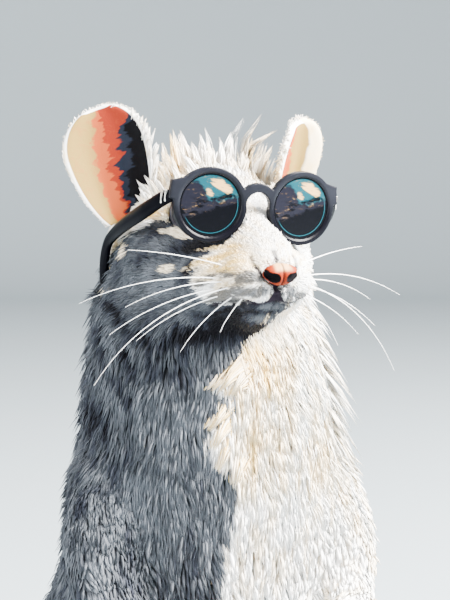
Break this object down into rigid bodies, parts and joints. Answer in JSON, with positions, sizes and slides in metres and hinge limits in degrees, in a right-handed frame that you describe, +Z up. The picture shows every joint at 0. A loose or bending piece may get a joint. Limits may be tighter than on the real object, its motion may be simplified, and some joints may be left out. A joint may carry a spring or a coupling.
{
  "type": "rat wearing sunglasses",
  "caption": "White rat with a grey side sits up on its haunches and wears small round sunglasses; still life-size model.",
  "frame": {"origin": "middle of the flat under the rump, on the floor", "axes": "+Z up, -Y the way the rat faces, -X its right side"},
  "size_m": [0.1189, 0.1726, 0.1602],
  "materials": {
    "coat_white": "short dense white fur",
    "coat_grey": "short dense grey fur",
    "bare_skin": "pink bare skin with fine hairs",
    "nose_leather": "moist pink nose",
    "eye_dark": "wet and dark",
    "frame_plastic": "polished dark plastic",
    "lens_glass": "dark tinted lens",
    "claw_horn": "pale horn",
    "whisker": "stiff white hairs"
  },
  "bodies": {
    "root": {"head": "coat_white", "neck": "coat_white", "torso": "coat_white", "nose": "nose_leather", "ear_left": "bare_skin", "ear_right": "bare_skin", "eye_left": "eye_dark", "eye_right": "eye_dark", "upper_arm_left": "coat_white", "upper_arm_right": "coat_grey", "forearm_left": "coat_white", "forearm_right": "coat_white", "forepaw_left": "bare_skin", "forepaw_right": "bare_skin", "hind_leg_left": "coat_white", "hind_leg_right": "coat_grey", "hind_foot_left": "bare_skin", "hind_foot_right": "bare_skin", "tail_1": "bare_skin", "tail_2": "bare_skin", "tail_3": "bare_skin", "tail_4": "bare_skin", "glasses_front": "frame_plastic", "glasses_temple_left": "frame_plastic", "glasses_temple_right": "frame_plastic", "glasses_lens_left": "lens_glass", "glasses_lens_right": "lens_glass"}
  },
  "joints": []
}
